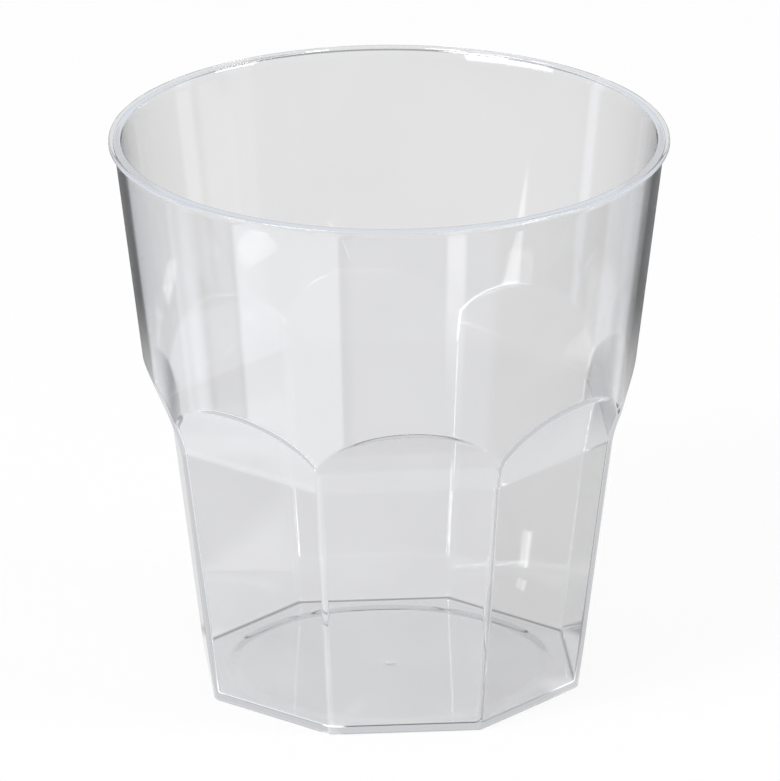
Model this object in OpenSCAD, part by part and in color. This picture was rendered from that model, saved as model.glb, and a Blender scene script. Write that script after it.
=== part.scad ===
// Clear disposable tumbler, moulded in one piece.
// A round wall opens towards a thin lip. The lower body is cut by flat facets,
// and each facet flares out at its top until it meets the round wall in an arch.
// Units are millimetres, +Z is up, and the origin is the centre of the base.

/* [Height and mouth] */
// Height from the table to the top of the lip
cup_h = 85; // [75:1:110]
// Diameter across the outside of the lip
lip_d = 84; // [80:0.5:92]
// How far the lip stands out from the wall below it
lip_overhang = 0.8; // [0.5:0.1:1.5]
// Thickness of the lip, from its underside to its top
lip_h = 0.7; // [0.5:0.1:1.5]
// Radius of the lip's two rounded outer edges
lip_edge_r = 0.2; // [0.1:0.05:0.24]

/* [Wall and floor] */
// Thickness of the wall, square to its surface
wall_t = 1.1; // [0.8:0.1:1.6]
// Lean of the round wall from upright, in degrees
wall_lean = 7; // [5.5:0.5:8]
// Thickness of the floor at its outer edge
floor_t = 1.1; // [0.9:0.1:2.5]

/* [Facets] */
// Number of facets around the lower body
facet_count = 8; // [8:1:12]
// Distance across two opposite facets at the table
base_across = 54.9; // [51:0.5:56]
// Lean of the facets from upright, in degrees
facet_lean = 7; // [5:0.5:8]
// Height at which a facet stops being flat and starts to flare
flare_start_h = 40.5; // [30:0.5:46]
// Angle of the crease where the flare starts, in degrees
flare_crease = 4; // [2:0.5:8]
// Radius of the flare at the top of a facet
flare_r = 25; // [18:1:35]
// Radius of the upright edges between the facets, outside
edge_out_r = 1.2; // [0.6:0.1:2]
// Radius of the upright edges between the facets, inside
edge_in_r = 1; // [0.6:0.1:2]
// How much higher the flare starts on an edge than on the facets beside it
edge_flare_rise = 0.4; // [0.2:0.1:1]
// Width of the small chamfer around the foot of the facets
foot_chamfer = 0.5; // [0.2:0.1:0.9]

/* [Underside] */
// Diameter of the round recess under the floor
recess_d = 47; // [40:1:49]
// Depth of the recess, so that the cup stands on the ring around it
recess_depth = 0.3; // [0.2:0.1:0.6]
// Diameter of the moulding gate mark in the middle of the recess
gate_d = 1.8; // [1:0.2:4]
// How far the gate mark stands out of the recess, short of the table
gate_h = 0.15; // [0.05:0.05:0.15]

/* [Hidden] */
$fn = 128;
// Distance by which a cutting shape reaches past what it cuts
past = 1;
// Radius of the outside of the wall, right under the lip
wall_top_r = lip_d / 2 - lip_overhang;
// Height of the lip's underside
lip_under_h = cup_h - lip_h;
// Height inside the lip to which the wall is drawn, so that the two are one body
wall_end_h = cup_h - lip_h / 2;
// Half the turn between two facets
half_step = 180 / facet_count;
// Reach of a cutting shape, well past the cup in every direction
reach = cup_h + lip_d;

// Radius of the round wall at a height, drawn in by a level distance
function wall_r(h, inset) = wall_top_r - (lip_under_h - h) * tan(wall_lean) - inset / cos(wall_lean);

// Lean of the edge between two facets that lean by an angle
function edge_lean(lean) = atan(tan(lean) / cos(half_step));

// Where the crease lies when the facets are drawn in square to themselves: [from the axis, height]
function crease_at(inset) =
    let (turn = facet_lean + flare_crease / 2, shift = inset / cos(flare_crease / 2))
    [
        base_across / 2 + flare_start_h * tan(facet_lean) - shift * cos(turn),
        flare_start_h + shift * sin(turn)
    ];

// Radius at which the edge between two flares bends, where it leaves the crease
function edge_flare_r(inset) =
    let (lean = facet_lean + flare_crease)
    (flare_r + inset) * cos(half_step) * pow(cos(lean) / cos(edge_lean(lean)), 3);

// Outline of all that lies outside a leaning line which flares away from a point
module beyond_flare(from, lean, crease, bend_r) {
    down = bend_r * sin(crease);
    translate(from)
        rotate(-lean)
            intersection() {
                translate([0, -reach])
                    square([reach, 2 * reach]);
                union() {
                    translate([-reach, -reach - down])
                        square([2 * reach, reach]);
                    translate([bend_r * cos(crease), -down])
                        circle(r = bend_r);
                }
            }
}

// Half section of the round blank: the round wall, and below it the rounded edges of the facets
module blank_outline(inset, edge_r, from_h, to_h) {
    crease = crease_at(inset);
    rounding = edge_r * (1 / cos(half_step) - 1);
    start = [crease[0] / cos(half_step) - rounding, crease[1] + edge_flare_rise];
    lean = edge_lean(facet_lean);
    turn = edge_lean(facet_lean + flare_crease) - lean;
    difference() {
        polygon([[0, from_h], [wall_r(from_h, inset), from_h], [wall_r(to_h, inset), to_h], [0, to_h]]);
        beyond_flare(start, lean, turn, edge_flare_r(inset));
    }
}

// Everything outside the facets, with the first one facing +X
module facet_cutters(inset) {
    for (i = [0 : facet_count - 1])
        rotate([90, 0, 2 * half_step * i])
            linear_extrude(height = reach, center = true)
                beyond_flare(crease_at(inset), facet_lean, flare_crease, flare_r + inset);
}

// Faceted body from one height to another, drawn in square to its surface
module faceted_body(inset, edge_r, from_h, to_h) {
    difference() {
        rotate_extrude()
            blank_outline(inset, edge_r, from_h, to_h);
        facet_cutters(inset);
    }
}

// Slanted cut that takes the sharp edge off the foot of each facet
module foot_chamfers() {
    for (i = [0 : facet_count - 1])
        rotate([0, 0, 2 * half_step * i])
            translate([base_across / 2 - foot_chamfer, 0, 0])
                rotate([0, 45, 0])
                    translate([0, -reach / 2, -reach / 2])
                        cube([reach, reach, reach]);
}

// Thin flange around the mouth, with its outer edges rounded
module lip() {
    flat_r = lip_d / 2 - lip_edge_r;
    translate([0, 0, lip_under_h])
        rotate_extrude() {
            square([flat_r, lip_h]);
            translate([flat_r - lip_edge_r, lip_edge_r])
                square([2 * lip_edge_r, lip_h - 2 * lip_edge_r]);
            for (h = [lip_edge_r, lip_h - lip_edge_r])
                translate([flat_r, h])
                    circle(r = lip_edge_r);
        }
}

// Round recess under the floor, around the gate mark
module underside_recess() {
    difference() {
        translate([0, 0, -past])
            cylinder(h = past + recess_depth, d = recess_d);
        translate([0, 0, recess_depth - gate_h])
            cylinder(h = past, d = gate_d);
    }
}

module tumbler() {
    color([0.93, 0.95, 0.96, 0.35])
        difference() {
            union() {
                faceted_body(0, edge_out_r, 0, wall_end_h);
                lip();
            }
            faceted_body(wall_t, edge_in_r, floor_t, cup_h + past);
            foot_chamfers();
            underside_recess();
        }
}

tumbler();
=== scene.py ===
"""Looks of a clear disposable tumbler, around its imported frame. Lengths are in metres, +Z is up."""

import math

import bpy
import numpy as np
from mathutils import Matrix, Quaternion, Vector


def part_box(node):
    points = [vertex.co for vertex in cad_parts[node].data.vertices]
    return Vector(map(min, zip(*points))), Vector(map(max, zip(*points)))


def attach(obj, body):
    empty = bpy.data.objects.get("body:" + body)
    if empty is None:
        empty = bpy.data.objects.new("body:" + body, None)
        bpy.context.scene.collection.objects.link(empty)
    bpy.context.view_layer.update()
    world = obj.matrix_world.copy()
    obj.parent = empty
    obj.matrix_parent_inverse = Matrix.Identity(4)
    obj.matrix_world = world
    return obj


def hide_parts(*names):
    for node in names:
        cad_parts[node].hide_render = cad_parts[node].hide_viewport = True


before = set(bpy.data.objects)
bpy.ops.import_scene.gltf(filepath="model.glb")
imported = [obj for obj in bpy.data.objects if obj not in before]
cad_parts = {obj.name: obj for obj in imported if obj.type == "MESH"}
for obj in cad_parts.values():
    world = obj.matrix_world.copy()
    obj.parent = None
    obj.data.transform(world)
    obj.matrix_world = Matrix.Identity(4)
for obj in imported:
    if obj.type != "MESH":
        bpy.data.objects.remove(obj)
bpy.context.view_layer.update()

MM = 0.001
CAD_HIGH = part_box("tumbler")[1]

# Height and mouth
CUP_H = CAD_HIGH.z
LIP_R = CAD_HIGH.x
LIP_OVERHANG = 0.8 * MM
LIP_H = 0.7 * MM
LIP_EDGE_R = 0.2 * MM
MOUTH_EDGE_R = 0.25 * MM
LIP_UNDER_H = CUP_H - LIP_H
WALL_TOP_R = LIP_R - LIP_OVERHANG

# Wall and floor
WALL_T = 1.1 * MM
WALL_LEAN = math.radians(7)
FLOOR_T = 1.1 * MM
FLOOR_EDGE_R = 0.5 * MM

# Facets
FACETS = 8
HALF_STEP = math.pi / FACETS
BASE_APOTHEM = 54.9 * MM / 2
FACET_LEAN = math.radians(7)
FLARE_START_H = 40.5 * MM
FLARE_CREASE = math.radians(4)
FLARE_R = 25 * MM
EDGE_OUT_R = 1.3 * MM
EDGE_IN_R = 1.1 * MM
FOOT_R = 0.55 * MM
ARCH_OUT_BLEND = 0.2 * MM
ARCH_IN_BLEND = 0.12 * MM
CREASE_BLEND = 0.004 * MM

# Underside
RECESS_R = 23.5 * MM
RECESS_DEPTH = 0.3 * MM
RECESS_SLOPE = 2.8 * MM
GATE_R = 0.9 * MM
GATE_H = 0.15 * MM

# Mesh density
FLAT_COLUMNS = 26
CORNER_COLUMNS = 6
PAST_ARCH_H = 14 * MM
HALVINGS = 40
PAST_ROUNDING = 1.1
PAST_MOUTH_EDGE = 1.2

# Clear plastic, with faint flow clouds and an uneven polish
PLASTIC_CLEAR = (0.985, 0.985, 0.988, 1)
PLASTIC_HAZY = (0.96, 0.96, 0.963, 1)
CLOUD_SCALE = 45
CLOUD_DETAIL = 3
CLOUD_FROM = 0.35
CLOUD_TO = 0.7
GRAIN_SCALE = 160
GRAIN_DETAIL = 2
GRAIN_FROM = 0.3
GRAIN_TO = 0.7
NOISE_ROUGHNESS = 0.5
POLISH_BEST = 0.012
POLISH_WORST = 0.03
PLASTIC_INDEX = 1.59

# Camera, fitted to the photograph's rim, arches, edges and base
IMAGE_H_PX = 781
SENSOR_MM = 36
CAM_DISTANCE = 2.6
CAM_FOCAL_PX = 17301
CAM_ELEVATION = math.radians(20.413)
CAM_AZIMUTH = math.radians(-4.811)
CAM_ROLL = math.radians(-0.112)
CAM_RISE_FROM = 0.045
CAM_CLIP_END = 100
AIM_H = 0.04461
AIM_RIGHT = 0.00005

# Studio: what shows behind and through the plastic, and what it mirrors
WHITE = (1, 1, 1, 1)
SEEN_THROUGH = (0.85, 0.85, 0.856, 1)
FLOOR_PALE = (0.85, 0.85, 0.85, 1)
FLOOR_GLOW = 0.9
FLOOR_SIDES = 96
FLOOR_R = 6
FLOOR_Z = -0.05 * MM
# Painted shade on the floor under the cup, shown only through the plastic: its tone, radius and softness
UNDER_CUP_SHADE = (0.83, 0.83, 0.83, 1)
UNDER_CUP_SHADE_R = 0.0235
UNDER_CUP_SHADE_SOFT = 0.001
# Painted contact shadow: a dark line on the floor where the rounded foot leaves it, measured square to the
# facets
CONTACT_SHADOW = (0.3, 0.3, 0.3, 1)
CONTACT_SHADOW_FROM = 0.0268
CONTACT_SHADOW_TO = 0.0276
CONTACT_SHADOW_SOFT = 0.0004
# Painted glow, standing in for the pale light that the plastic guides through many reflections, as it
# leaves the wall, the facets below the arches, and the foot
GUIDED_WALL = (0.72, 0.76, 0.82, 1)
GUIDED_FACETS = (0.62, 0.625, 0.64, 1)
GUIDED_CHANGE_H = 0.055
GUIDED_CHANGE_SOFT = 0.005
GUIDED_FOOT = (0.5, 0.51, 0.53, 1)
GUIDED_FOOT_R = 0.035
GUIDED_FOOT_SOFT = 0.01
GUIDED_AFTER = 5
# A ray's counts are whole numbers, and limits on them lie half way between
BETWEEN_COUNTS = 0.5
# Most reflections and crossings on the way of one ray
MOST_REFLECTIONS = 64
MOST_CROSSINGS = 32
# Strength of the world as a light, and softboxes: name, place, width and height, watts
WORLD_LIGHT = 0.7
SOFTBOX_AIM = (0, 0, 0.04)
SOFTBOXES = (
    ("key", (-0.7, -0.6, 0.9), (0.5, 0.5), 10),
    ("fill", (0.9, -0.4, 0.6), (0.4, 0.6), 5),
)
# Plain room that the plastic mirrors: its tones below and above, its ceiling, and its panels' tint
ROOM_LOW = 0.13
ROOM_HIGH = 0.28
ROOM_CHANGE_FROM = -0.05
ROOM_CHANGE_TO = 0.15
CEILING = 0.9
CEILING_FROM = math.radians(50)
CEILING_FULL = math.radians(75)
PANEL_TINT = (0.95, 0.98, 1.05)
# Lit parts of the floor: turn from the camera's side, half width and softness in degrees,
# where they start and end in metres from the axis (none, full, full, none), strength
FLOOR_PATCHES = (
    (180, 62, 10, 0.0295, 0.031, 0.1, 0.165, 0.65),
    (92, 28, 8, 0.012, 0.016, 0.031, 0.034, 0.75),
    (-92, 28, 8, 0.012, 0.016, 0.031, 0.034, 0.75),
    (-17.7, 3, 2, 0.012, 0.016, 0.031, 0.034, 1.5),
    (26.5, 3.5, 2.5, 0.112, 0.165, 0.3, 0.4, 1.4),
    (101, 10, 6, 0.13, 0.14, 0.158, 0.168, 0.35),
    (103, 5, 3, 0.25, 0.28, 0.5, 0.55, 0.6),
    (84, 9, 4, 0.25, 0.28, 0.5, 0.55, 0.35),
)
# Lamps near the floor, in the same numbers. They show only in the back of the cup, seen through
# its front, and where it mirrors them once
FLOOR_LAMPS = (
    (-34, 10, 3, 0.03, 0.036, 0.14, 0.16, 12),
    (-62, 5, 3, 0.14, 0.16, 0.27, 0.3, 10),
    (45, 6, 3, 0.03, 0.036, 0.13, 0.16, 15),
)
# Lit shapes on the floor that show only where the plastic mirrors them once:
# corners as turn from the camera's side and distance from the axis, softness in metres, strength
FLOOR_SHAPES = (
    (((-51, 0.28), (-67, 0.28), (-67, 0.478)), 0.004, 1.8),
    (((82.8, 0.0745), (83.25, 0.0745), (79.85, 0.064), (79.3, 0.064)), 0.0007, 3),
    (((77.95, 0.0605), (78.5, 0.0605), (77.05, 0.0576), (76.5, 0.0576)), 0.0007, 2),
)
# Lit panels around the cup: turn from the camera's side and half width in degrees,
# lowest and highest elevation in degrees, softness of the sides and of the ends in degrees, strength
PANELS = (
    (-48.5, 25.5, -60, -16, 2, 4, 1.2),
    (16, 34, -60, -16, 6, 4, 0.35),
    (-105, 8, -33, -16, 4, 2, 0.7),
    (-103, 3, -33, -16, 3, 2, 0.3),
    (-131, 19, -32, -16, 3, 3, 0.52),
    (127.2, 15.3, -31, -16, 3, 3, 0.45),
    (-117, 38, -62, -33.5, 2, 1.5, 0.9),
    (-85, 8, -40, -29.8, 4, 1, 0.3),
    (131, 34, -62, -31.3, 2, 1, 0.5),
    (97, 4.5, -5, 35, 2, 3, 0.5),
    (67, 6, -15, 10, 3, 3, 0.25),
    (-99, 3, -15, 10, 2, 3, 0.8),
    (180, 60, 8, 40, 20, 8, 0.35),
    (11, 30, -75, -39, 6, 3, 0.25),
)
# Lamps above, in the same numbers, which show only where the plastic mirrors them once
LAMPS = (
    (-52.5, 20, 3, 20, 2, 4, 5.5),
)


def smooth_min(a, b, blend):
    """The smaller of two values, rounded off where they are within blend of each other."""
    h = np.maximum(blend - np.abs(a - b), 0) / blend
    return np.minimum(a, b) - h * h * blend / 4


def smooth_max(a, b, blend):
    """The larger of two values, rounded off where they are within blend of each other."""
    return -smooth_min(-a, -b, blend)


def wall_r(z, inset):
    """Radius of the round wall at a height, drawn in square to itself."""
    return WALL_TOP_R - (LIP_UNDER_H - z) * math.tan(WALL_LEAN) - inset / math.cos(WALL_LEAN)


def crease_point(inset):
    """Apothem and height of the line where a facet, drawn in square to itself, starts to flare."""
    turn = FACET_LEAN + FLARE_CREASE / 2
    shift = inset / math.cos(FLARE_CREASE / 2)
    a = BASE_APOTHEM + FLARE_START_H * math.tan(FACET_LEAN) - shift * math.cos(turn)
    return a, FLARE_START_H + shift * math.sin(turn)


def apothem(z, inset):
    """Distance from the axis to the middle of a facet at a height."""
    flat = BASE_APOTHEM + z * math.tan(FACET_LEAN) - inset / math.cos(FACET_LEAN)
    crease_a, crease_h = crease_point(inset)
    bend_r = FLARE_R + inset
    turn = FACET_LEAN + FLARE_CREASE
    centre_a = crease_a + bend_r * math.cos(turn)
    centre_h = crease_h - bend_r * math.sin(turn)
    up = np.clip(z - centre_h, 0, bend_r)
    flare = centre_a - np.sqrt(bend_r**2 - up**2)
    return np.where(z > centre_h, smooth_max(flat, flare, CREASE_BLEND), flat)


def fold(az):
    """An azimuth's angle from the middle of the nearest facet."""
    return np.abs((az + HALF_STEP) % (2 * HALF_STEP) - HALF_STEP)


def polygon_r(az, a, edge_r):
    """Radius of a polygon with apothem a and rounded corners."""
    phi = fold(az)
    centre = (a - edge_r) / math.cos(HALF_STEP)
    side = centre * np.sin(HALF_STEP - phi)
    arc = centre * np.cos(HALF_STEP - phi) + np.sqrt(np.maximum(edge_r**2 - side**2, 0))
    on_flat = a * np.tan(phi) <= (a - edge_r) * math.tan(HALF_STEP)
    return np.where(on_flat, a / np.cos(phi), arc)


def body_r(az, z, inset, edge_r):
    """Radius of the faceted body at an azimuth and a height."""
    blend = ARCH_IN_BLEND if inset else ARCH_OUT_BLEND
    return smooth_min(polygon_r(az, apothem(z, inset), edge_r), wall_r(z, inset), blend)


def arch_h(az, inset, edge_r):
    """Height at which the flare meets the round wall, by halving."""
    low = np.full_like(az, crease_point(inset)[1])
    high = low + PAST_ARCH_H
    for _ in range(HALVINGS):
        middle = (low + high) / 2
        inside = polygon_r(az, apothem(middle, inset), edge_r) < wall_r(middle, inset)
        low = np.where(inside, middle, low)
        high = np.where(inside, high, middle)
    return (low + high) / 2


def eased(count):
    """count + 1 values from 0 to 1, closer together at both ends."""
    return (1 - np.cos(np.linspace(0, math.pi, count + 1))) / 2


def column_azimuths(a, edge_r):
    """Azimuth of every column where the apothem is a: the corners' columns stay on the rounded corners."""
    flat_end = (a - edge_r) * math.tan(HALF_STEP)
    flat = np.arctan2(flat_end * (2 * eased(FLAT_COLUMNS) - 1), a)
    turns = HALF_STEP * np.linspace(0, 1, CORNER_COLUMNS + 1)[1:]
    x = a - edge_r + edge_r * np.cos(turns)
    y = flat_end + edge_r * np.sin(turns)
    arc = np.arctan2(y, x)
    sector = np.concatenate([-arc[::-1][1:], flat, arc])
    return np.concatenate([sector + 2 * HALF_STEP * i for i in range(FACETS)])


class Rows:
    """Rings of points from the underside's centre, out and up to the lip, and down inside to the floor."""

    def __init__(self):
        self.rings = []

    def add(self, az, r, z):
        x = r * np.cos(az)
        y = r * np.sin(az)
        self.rings.append(np.stack([x, y, np.broadcast_to(z, az.shape)], axis=1))

    def circle(self, r, z, az):
        self.add(az, np.full_like(az, r), z)


def round_steps(count):
    """Angles of a quarter round, from 0 to 90 degrees."""
    return np.linspace(0, math.pi / 2, count + 1)


def underside(rows):
    """Gate mark, recess and standing ring, up to where the foot's rounding starts."""
    az = column_azimuths(BASE_APOTHEM, EDGE_OUT_R)
    for share in (0.12, 0.25, 0.38, 0.5, 0.62, 0.75, 0.88, 1):
        rows.circle(share * GATE_R, RECESS_DEPTH - GATE_H * math.cos(share * math.pi / 2) ** 2, az)
    ring_start = RECESS_R + RECESS_SLOPE / 2
    slope_start = RECESS_R - RECESS_SLOPE / 2
    for share in (0.12, 0.25, 0.4, 0.55, 0.7, 0.85, 0.95, 0.99):
        rows.circle(share * slope_start, RECESS_DEPTH, az)
    for share in np.linspace(0, 1, 9):
        slope_z = RECESS_DEPTH * math.cos(share * math.pi / 2) ** 2
        rows.circle(slope_start + share * RECESS_SLOPE, slope_z, az)
    ring_end = polygon_r(az, apothem(0, FOOT_R), EDGE_OUT_R - FOOT_R)
    for share in (0.05, 0.35, 0.65, 0.95):
        rows.add(az, ring_start + share * (ring_end - ring_start), 0)


def foot(rows):
    """Small rounding around the foot of the facets."""
    for t in round_steps(6):
        inset = FOOT_R * (1 - math.sin(t))
        z = FOOT_R * (1 - math.cos(t))
        a = apothem(z, inset)
        az = column_azimuths(apothem(z, 0), EDGE_OUT_R)
        rows.add(az, polygon_r(az, a, EDGE_OUT_R - inset), z)


def body_rings(inset, edge_r, bottom_h, top_h):
    """Rings of the faceted body, from the bottom to the top, as azimuths, radii and heights."""
    crease_h = crease_point(inset)[1]
    near = 0.25 * MM
    rings = []

    def ring(az, z):
        rings.append((az, body_r(az, z, inset, edge_r), z))

    for share in (0, 0.01, 0.1, 0.25, 0.4, 0.55, 0.7, 0.85, 0.96, 1):
        z = bottom_h + share * (crease_h - near - bottom_h)
        az = column_azimuths(apothem(z, inset), edge_r)
        ring(az, np.full_like(az, z))
    for offset in (-0.12, -0.06, -0.02, 0.02, 0.06, 0.12, 0.25):
        z = crease_h + offset * MM
        az = column_azimuths(apothem(z, inset), edge_r)
        ring(az, np.full_like(az, z))
    cusp_h = float(arch_h(np.array([HALF_STEP]), inset, edge_r)[0])
    low_h = crease_h + near
    zone = 0.6 * MM
    for share in np.linspace(0, 1, 13)[1:]:
        guide = low_h + share * (cusp_h - low_h)
        az = column_azimuths(apothem(guide, inset), edge_r)
        arch = arch_h(az, inset, edge_r)
        ring(az, low_h + share * (arch - zone - low_h))
    az = column_azimuths(apothem(cusp_h, inset), edge_r)
    arch = arch_h(az, inset, edge_r)
    for share in (-0.7, -0.45, -0.22, 0, 0.22, 0.45, 0.7, 1):
        ring(az, arch + share * zone)
    for share in (0.02, 0.07, 0.14, 0.22, 0.31, 0.41, 0.52, 0.64, 0.76, 0.88, 0.97, 1):
        ring(az, arch + zone + share * (top_h - arch - zone))
    return rings


def outer_body(rows):
    """Outside of the facets and the wall, from above the foot to below the lip."""
    bottom_h = PAST_ROUNDING * FOOT_R
    for az, r, z in body_rings(0, EDGE_OUT_R, bottom_h, LIP_UNDER_H - LIP_EDGE_R / 2):
        rows.add(az, r, z)


def lip(rows):
    """Flange around the mouth, with rounded edges, and the rounded inner edge of the mouth."""
    cusp_h = float(arch_h(np.array([HALF_STEP]), 0, EDGE_OUT_R)[0])
    az = column_azimuths(apothem(cusp_h, 0), EDGE_OUT_R)
    soft = LIP_EDGE_R / 2
    wall = wall_r(LIP_UNDER_H, 0)
    for t in round_steps(3)[1:]:
        rows.circle(wall + soft * (1 - math.cos(t)), LIP_UNDER_H - soft * (1 - math.sin(t)), az)
    centre = LIP_R - LIP_EDGE_R
    for share in (0.3, 0.7):
        rows.circle(wall + soft + share * (centre - wall - soft), LIP_UNDER_H, az)
    for t in round_steps(5):
        rows.circle(centre + LIP_EDGE_R * math.sin(t), LIP_UNDER_H + LIP_EDGE_R * (1 - math.cos(t)), az)
    for t in round_steps(5):
        rows.circle(centre + LIP_EDGE_R * math.cos(t), CUP_H - LIP_EDGE_R * (1 - math.sin(t)), az)
    mouth = wall_r(CUP_H, WALL_T)
    mouth_edge = mouth + MOUTH_EDGE_R
    for share in (0.1, 0.5, 0.9):
        rows.circle(centre + share * (mouth_edge - centre), CUP_H, az)
    for t in round_steps(5):
        rows.circle(mouth_edge - MOUTH_EDGE_R * math.sin(t), CUP_H - MOUTH_EDGE_R * (1 - math.cos(t)), az)


def inner_body(rows):
    """Inside of the wall and the facets, from the mouth down to the floor's rounding."""
    bottom_h = FLOOR_T + PAST_ROUNDING * FLOOR_EDGE_R
    top_h = CUP_H - PAST_MOUTH_EDGE * MOUTH_EDGE_R
    for az, r, z in reversed(body_rings(WALL_T, EDGE_IN_R, bottom_h, top_h)):
        rows.add(az, r, z)


def inner_floor(rows):
    """Rounding between facets and floor, and the floor in to its centre."""
    az = column_azimuths(apothem(FLOOR_T, WALL_T), EDGE_IN_R)
    for t in round_steps(6):
        inset = WALL_T + FLOOR_EDGE_R * (1 - math.cos(t))
        z = FLOOR_T + FLOOR_EDGE_R * (1 - math.sin(t))
        rows.add(az, polygon_r(az, apothem(z, inset), EDGE_IN_R), z)
    edge = polygon_r(az, apothem(FLOOR_T, WALL_T + FLOOR_EDGE_R), EDGE_IN_R)
    for share in (0.99, 0.95, 0.85, 0.7, 0.55, 0.4, 0.25, 0.12, 0.05):
        rows.add(az, share * edge, FLOOR_T)


def tumbler_mesh():
    """The whole cup as one closed mesh."""
    rows = Rows()
    underside(rows)
    foot(rows)
    outer_body(rows)
    lip(rows)
    inner_body(rows)
    inner_floor(rows)
    count = rows.rings[0].shape[0]
    points = np.concatenate(rows.rings + [np.array([[0, 0, RECESS_DEPTH - GATE_H], [0, 0, FLOOR_T]])])
    faces = []
    for i in range(len(rows.rings) - 1):
        for j in range(count):
            k = (j + 1) % count
            faces.append((i * count + j, i * count + k, (i + 1) * count + k, (i + 1) * count + j))
    under_centre = len(points) - 2
    floor_centre = len(points) - 1
    last = (len(rows.rings) - 1) * count
    for j in range(count):
        k = (j + 1) % count
        faces.append((under_centre, k, j))
        faces.append((last + j, last + k, floor_centre))
    mesh = bpy.data.meshes.new("clear_tumbler")
    mesh.from_pydata(points.tolist(), [], faces)
    mesh.validate()
    mesh.shade_smooth()
    return mesh


def feed(tree, sockets, values):
    """Links each socket to its value where that is an output, sets it where it is plain, and skips None."""
    for socket, value in zip(sockets, values):
        if isinstance(value, bpy.types.NodeSocket):
            tree.links.new(value, socket)
        elif value is not None:
            socket.default_value = value


def node_of(tree, kind, **values):
    """A new node, with its sockets fed by name."""
    made = tree.nodes.new(kind)
    feed(tree, [made.inputs[name] for name in values], values.values())
    return made


def noise_node(tree, place, scale, detail):
    """Noise at a place, as an output between 0 and 1."""
    made = node_of(
        tree, "ShaderNodeTexNoise", Vector=place, Scale=scale, Detail=detail, Roughness=NOISE_ROUGHNESS
    )
    return made.outputs["Fac"]


def emission_node(tree, **values):
    """Light with a colour or a strength, as a shader's output."""
    return node_of(tree, "ShaderNodeEmission", **values).outputs[0]


def mix_shader(tree, amount, first, second):
    """The first shader where amount is 0 and the second where it is 1, as an output."""
    made = tree.nodes.new("ShaderNodeMixShader")
    feed(tree, made.inputs, (amount, first, second))
    return made.outputs[0]


def vector_node(tree, operation, first, second=None):
    """A Vector Math node fed by outputs or plain vectors."""
    made = tree.nodes.new("ShaderNodeVectorMath")
    made.operation = operation
    feed(tree, made.inputs, (first, second))
    return made


def parts_of(tree, vector):
    """The X, Y and Z of a vector, as outputs."""
    return node_of(tree, "ShaderNodeSeparateXYZ", Vector=vector).outputs


def ray_fact(tree, name):
    """A fact about the ray's path, as an output."""
    return tree.nodes.new("ShaderNodeLightPath").outputs[name]


def math_node(tree, operation, first, second=None):
    """A Math node fed by sockets or plain numbers, as its output."""
    made = tree.nodes.new("ShaderNodeMath")
    made.operation = operation
    feed(tree, made.inputs, (first, second))
    return made.outputs[0]


def blend_node(tree, amount, first, second):
    """first where amount is 0 and second where it is 1, as a number's output."""
    made = tree.nodes.new("ShaderNodeMix")
    feed(tree, (made.inputs[0], made.inputs[2], made.inputs[3]), (amount, first, second))
    return made.outputs[0]


def blend_colour(tree, amount, first, second):
    """The same for colours."""
    made = tree.nodes.new("ShaderNodeMix")
    made.data_type = "RGBA"
    feed(tree, (made.inputs[0], made.inputs[6], made.inputs[7]), (amount, first, second))
    return made.outputs[2]


def ramp_node(tree, value, low, high, to_low=0.0, to_high=1.0):
    """A soft step from to_low to to_high as value goes from low to high."""
    made = tree.nodes.new("ShaderNodeMapRange")
    made.interpolation_type = "SMOOTHSTEP"
    tree.links.new(value, made.inputs["Value"])
    made.inputs["From Min"].default_value = low
    made.inputs["From Max"].default_value = high
    made.inputs["To Min"].default_value = to_low
    made.inputs["To Max"].default_value = to_high
    return made.outputs["Result"]


def shown_rays(tree):
    """1 for the rays that show the background: from the camera, and through or off glossy surfaces."""
    total = ray_fact(tree, "Is Camera Ray")
    for name in ("Is Glossy Ray", "Is Transmission Ray"):
        total = math_node(tree, "MAXIMUM", total, ray_fact(tree, name))
    return total


def was_mirrored(tree):
    """1 for a ray that the plastic has mirrored on its way, 0 for one that only came through it."""
    return math_node(tree, "MINIMUM", ray_fact(tree, "Glossy Depth"), 1.0)


def mirrored_once(tree):
    """1 for a ray that has been mirrored no more than once."""
    return math_node(tree, "LESS_THAN", ray_fact(tree, "Glossy Depth"), 1 + BETWEEN_COUNTS)


def crossed_a_wall(tree):
    """1 for a ray that has come through more than one wall of the cup."""
    return math_node(tree, "GREATER_THAN", ray_fact(tree, "Transmission Depth"), 2 + BETWEEN_COUNTS)


def was_guided(tree):
    """1 for a ray that has been mirrored more than GUIDED_AFTER times."""
    return math_node(tree, "GREATER_THAN", ray_fact(tree, "Glossy Depth"), GUIDED_AFTER + BETWEEN_COUNTS)


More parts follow.
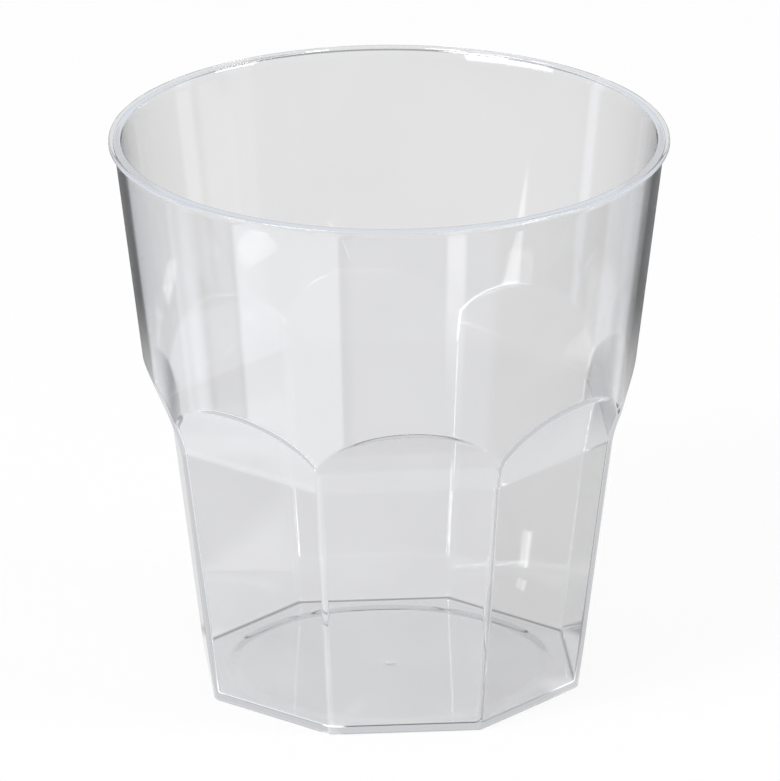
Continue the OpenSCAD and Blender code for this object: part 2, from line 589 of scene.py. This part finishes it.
def clear_plastic():
    """Polished clear polystyrene, glowing with painted light where a ray has been mirrored many times."""
    material = bpy.data.materials.new("clear_plastic")
    material.use_nodes = True
    tree = material.node_tree
    shader = tree.nodes["Principled BSDF"]
    place = tree.nodes.new("ShaderNodeTexCoord").outputs["Object"]
    haze = ramp_node(tree, noise_node(tree, place, CLOUD_SCALE, CLOUD_DETAIL), CLOUD_FROM, CLOUD_TO)
    tree.links.new(blend_colour(tree, haze, PLASTIC_CLEAR, PLASTIC_HAZY), shader.inputs["Base Color"])
    grain = noise_node(tree, place, GRAIN_SCALE, GRAIN_DETAIL)
    polish = ramp_node(tree, grain, GRAIN_FROM, GRAIN_TO, POLISH_BEST, POLISH_WORST)
    tree.links.new(polish, shader.inputs["Roughness"])
    shader.inputs["IOR"].default_value = PLASTIC_INDEX
    shader.inputs["Transmission Weight"].default_value = 1
    # Painted glow for rays mirrored many times, darker on the facets than on the wall
    height = parts_of(tree, place)["Z"]
    change_from = GUIDED_CHANGE_H - GUIDED_CHANGE_SOFT
    upper = ramp_node(tree, height, change_from, GUIDED_CHANGE_H + GUIDED_CHANGE_SOFT)
    guided_glow = emission_node(tree, Color=blend_colour(tree, upper, GUIDED_FACETS, GUIDED_WALL))
    surface = mix_shader(tree, was_guided(tree), shader.outputs[0], guided_glow)
    tree.links.new(surface, tree.nodes["Material Output"].inputs["Surface"])
    return material


def build_tumbler():
    tumbler = bpy.data.objects.new("clear_tumbler", tumbler_mesh())
    bpy.context.scene.collection.objects.link(tumbler)
    tumbler.data.materials.append(clear_plastic())
    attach(tumbler, "root")
    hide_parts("tumbler")


def level_of(tree, vector):
    """Length of the level part of a vector, and that part's direction."""
    level = vector_node(tree, "MULTIPLY", vector, (1, 1, 0)).outputs[0]
    length = vector_node(tree, "LENGTH", level).outputs["Value"]
    return length, vector_node(tree, "NORMALIZE", level).outputs[0]


def facet_distance(tree, place):
    """Distance from the axis, measured square to the nearest facet."""
    parts = parts_of(tree, vector_node(tree, "ABSOLUTE", place).outputs[0])
    x, y = parts["X"], parts["Y"]
    slanted = math_node(tree, "MULTIPLY", math_node(tree, "ADD", x, y), math.sqrt(0.5))
    return math_node(tree, "MAXIMUM", math_node(tree, "MAXIMUM", x, y), slanted)


def sector_node(tree, outward, turn, half, soft):
    """1 inside a sector that is centred on a turn from the camera's side, 0 outside it."""
    along = CAM_AZIMUTH + math.radians(turn)
    facing = vector_node(tree, "DOT_PRODUCT", outward, (math.sin(along), -math.cos(along), 0))
    outer = math.cos(math.radians(half + soft / 2))
    inner = math.cos(math.radians(max(half - soft / 2, 0)))
    return ramp_node(tree, facing.outputs["Value"], outer, inner)


def panels_lit(tree, outward, height, panels):
    """Brightness of lit panels in a direction."""
    lit = 0.0
    for turn, half, low, high, side_soft, end_soft, strength in panels:
        panel = sector_node(tree, outward, turn, half, side_soft)
        for edge, sign in ((low, 1), (high, -1)):
            from_z = math.sin(math.radians(edge - sign * end_soft / 2))
            to_z = math.sin(math.radians(edge + sign * end_soft / 2))
            if sign > 0:
                end = ramp_node(tree, height, from_z, to_z)
            else:
                end = ramp_node(tree, height, to_z, from_z, 1, 0)
            panel = math_node(tree, "MULTIPLY", panel, end)
        lit = math_node(tree, "ADD", math_node(tree, "MULTIPLY", panel, strength), lit)
    return lit


def studio_colour(tree):
    """Colour of the room by direction: dim below, a soft ceiling above, and lit panels."""
    direction = tree.nodes.new("ShaderNodeTexCoord").outputs["Generated"]
    outward = level_of(tree, direction)[1]
    height = parts_of(tree, direction)["Z"]
    shade = ramp_node(tree, height, ROOM_CHANGE_FROM, ROOM_CHANGE_TO, ROOM_LOW, ROOM_HIGH)
    ceiling = ramp_node(tree, height, math.sin(CEILING_FROM), math.sin(CEILING_FULL), 0, CEILING)
    room = math_node(tree, "ADD", shade, ceiling)
    lit = panels_lit(tree, outward, height, PANELS)
    lamps = math_node(tree, "MULTIPLY", panels_lit(tree, outward, height, LAMPS), mirrored_once(tree))
    lit = math_node(tree, "ADD", lit, lamps)
    room = grey_node(tree, room, (1, 1, 1))
    return vector_node(tree, "ADD", room, grey_node(tree, lit, PANEL_TINT)).outputs[0]


def patches_lit(tree, length, outward, patches):
    """Brightness that the plastic mirrors from lit parts of the floor."""
    shade = 0.0
    for turn, half, soft, from_none, from_full, to_full, to_none, strength in patches:
        patch = sector_node(tree, outward, turn, half, soft)
        patch = math_node(tree, "MULTIPLY", patch, ramp_node(tree, length, from_none, from_full))
        patch = math_node(tree, "MULTIPLY", patch, ramp_node(tree, length, to_full, to_none, 1, 0))
        shade = math_node(tree, "ADD", math_node(tree, "MULTIPLY", patch, strength), shade)
    return shade


def shape_lit(tree, place, corners, soft, strength):
    """Brightness of a lit shape on the floor, given by its corners."""
    points = []
    for turn, distance in corners:
        along = CAM_AZIMUTH + math.radians(turn)
        points.append(Vector((math.sin(along), -math.cos(along), 0)) * distance)
    middle = sum(points, Vector((0, 0, 0))) / len(points)
    half = soft / 2
    lit = strength
    for first, second in zip(points, points[1:] + points[:1]):
        inward = Vector((first.y - second.y, second.x - first.x, 0)).normalized()
        if inward.dot(middle - first) < 0:
            inward.negate()
        depth = vector_node(tree, "DOT_PRODUCT", place, inward)
        edge = inward.dot(first)
        inside = ramp_node(tree, depth.outputs["Value"], edge - half, edge + half)
        lit = math_node(tree, "MULTIPLY", lit, inside)
    return lit


def grey_node(tree, shade, tint):
    """A shade as a colour, with a tint."""
    scaled = vector_node(tree, "SCALE", tint)
    tree.links.new(shade, scaled.inputs["Scale"])
    return scaled.outputs[0]


def seen_floor(tree, place, length):
    """The floor as it is seen by itself and through the plastic: plain, pale, and keeping a shadow, with
    painted shade under the cup and a painted contact shadow along the foot, which show only through the
    plastic.
    """
    # Painted shade under the cup
    under = ramp_node(tree, length, UNDER_CUP_SHADE_R - UNDER_CUP_SHADE_SOFT, UNDER_CUP_SHADE_R + UNDER_CUP_SHADE_SOFT)
    behind = blend_colour(tree, under, UNDER_CUP_SHADE, SEEN_THROUGH)
    # Painted contact shadow: a dark band along the foot, shown only through the plastic
    across = facet_distance(tree, place)
    contact_shadow = ramp_node(tree, across, CONTACT_SHADOW_FROM - CONTACT_SHADOW_SOFT, CONTACT_SHADOW_FROM)
    contact_shadow_end = ramp_node(tree, across, CONTACT_SHADOW_TO, CONTACT_SHADOW_TO + CONTACT_SHADOW_SOFT, 1, 0)
    contact_shadow = math_node(tree, "MULTIPLY", contact_shadow, contact_shadow_end)
    behind = blend_colour(tree, contact_shadow, behind, CONTACT_SHADOW)
    shown = blend_colour(tree, ray_fact(tree, "Is Camera Ray"), behind, WHITE)
    diffuse = node_of(tree, "ShaderNodeBsdfDiffuse", Color=FLOOR_PALE).outputs[0]
    glowing = math_node(tree, "MULTIPLY", shown_rays(tree), FLOOR_GLOW)
    return mix_shader(tree, glowing, diffuse, emission_node(tree, Color=shown))


def mirrored_floor(tree, place, length, outward):
    """The floor as the plastic mirrors it: the room below, with lit patches, lamps and shapes."""
    lamps = patches_lit(tree, length, outward, FLOOR_LAMPS)
    lamps = math_node(tree, "MULTIPLY", lamps, crossed_a_wall(tree))
    for corners, soft, strength in FLOOR_SHAPES:
        lamps = math_node(tree, "ADD", shape_lit(tree, place, corners, soft, strength), lamps)
    lamps = math_node(tree, "MULTIPLY", lamps, mirrored_once(tree))
    patches = patches_lit(tree, length, outward, FLOOR_PATCHES)
    lit = emission_node(tree, Strength=math_node(tree, "ADD", patches, lamps))
    clear = tree.nodes.new("ShaderNodeBsdfTransparent").outputs[0]
    mirrored = tree.nodes.new("ShaderNodeAddShader")
    feed(tree, mirrored.inputs, (clear, lit))
    return mirrored.outputs[0]


def floor_material():
    """Floor that stays white behind the cup, and that the plastic mirrors as part of the studio."""
    material = bpy.data.materials.new("floor")
    material.use_nodes = True
    tree = material.node_tree
    tree.nodes.clear()
    place = tree.nodes.new("ShaderNodeNewGeometry").outputs["Position"]
    length, outward = level_of(tree, place)
    seen = seen_floor(tree, place, length)
    mirrored = mirrored_floor(tree, place, length, outward)
    surface = mix_shader(tree, was_mirrored(tree), seen, mirrored)
    # Painted glow for rays mirrored many times, darker near the foot
    away = ramp_node(tree, length, GUIDED_FOOT_R, GUIDED_FOOT_R + GUIDED_FOOT_SOFT)
    guided_glow = emission_node(tree, Color=blend_colour(tree, away, GUIDED_FOOT, GUIDED_WALL))
    surface = mix_shader(tree, was_guided(tree), surface, guided_glow)
    output = tree.nodes.new("ShaderNodeOutputMaterial")
    tree.links.new(surface, output.inputs["Surface"])
    return material


def build_floor():
    bpy.ops.mesh.primitive_circle_add(
        vertices=FLOOR_SIDES, radius=FLOOR_R, fill_type="NGON", location=(0, 0, FLOOR_Z)
    )
    floor = bpy.context.object
    floor.name = "floor"
    floor.data.materials.append(floor_material())


def build_world():
    world = bpy.data.worlds.new("studio")
    bpy.context.scene.world = world
    world.use_nodes = True
    world.cycles.sampling_method = "NONE"
    tree = world.node_tree
    background = tree.nodes["Background"]
    # Painted glow for rays mirrored many times
    mirrored = blend_colour(tree, was_guided(tree), studio_colour(tree), GUIDED_WALL)
    behind = blend_colour(tree, was_mirrored(tree), SEEN_THROUGH, mirrored)
    colour = blend_colour(tree, ray_fact(tree, "Is Camera Ray"), behind, WHITE)
    tree.links.new(colour, background.inputs["Color"])
    strength = blend_node(tree, shown_rays(tree), WORLD_LIGHT, 1.0)
    tree.links.new(strength, background.inputs["Strength"])


def add_softbox(name, place, size, watts):
    light = bpy.data.lights.new(name, "AREA")
    light.shape = "RECTANGLE"
    light.size, light.size_y = size
    light.energy = watts
    lamp = bpy.data.objects.new(name, light)
    bpy.context.scene.collection.objects.link(lamp)
    lamp.location = place
    lamp.rotation_euler = (Vector(SOFTBOX_AIM) - Vector(place)).to_track_quat("-Z", "Y").to_euler()


def build_lights():
    for name, place, size, watts in SOFTBOXES:
        add_softbox(name, place, size, watts)


def build_camera():
    camera = bpy.data.objects.new("camera", bpy.data.cameras.new("camera"))
    bpy.context.scene.collection.objects.link(camera)
    back = Vector((math.sin(CAM_AZIMUTH), -math.cos(CAM_AZIMUTH), 0)) * math.cos(CAM_ELEVATION)
    back.z = math.sin(CAM_ELEVATION)
    right = Vector((math.cos(CAM_AZIMUTH), math.sin(CAM_AZIMUTH), 0))
    place = Vector((0, 0, CAM_RISE_FROM)) + back * CAM_DISTANCE
    aim = Vector((0, 0, AIM_H)) + right * AIM_RIGHT
    camera.location = place
    camera.rotation_mode = "QUATERNION"
    camera.rotation_quaternion = (aim - place).to_track_quat("-Z", "Y") @ Quaternion((0, 0, 1), CAM_ROLL)
    camera.data.sensor_width = SENSOR_MM
    camera.data.lens = CAM_FOCAL_PX * SENSOR_MM / IMAGE_H_PX
    camera.data.clip_end = CAM_CLIP_END
    bpy.context.scene.camera = camera


build_camera()
build_tumbler()
build_floor()
build_world()
build_lights()
bpy.context.scene.view_settings.view_transform = "Standard"
bpy.context.scene.cycles.max_bounces = MOST_REFLECTIONS
bpy.context.scene.cycles.glossy_bounces = MOST_REFLECTIONS
bpy.context.scene.cycles.transmission_bounces = MOST_CROSSINGS
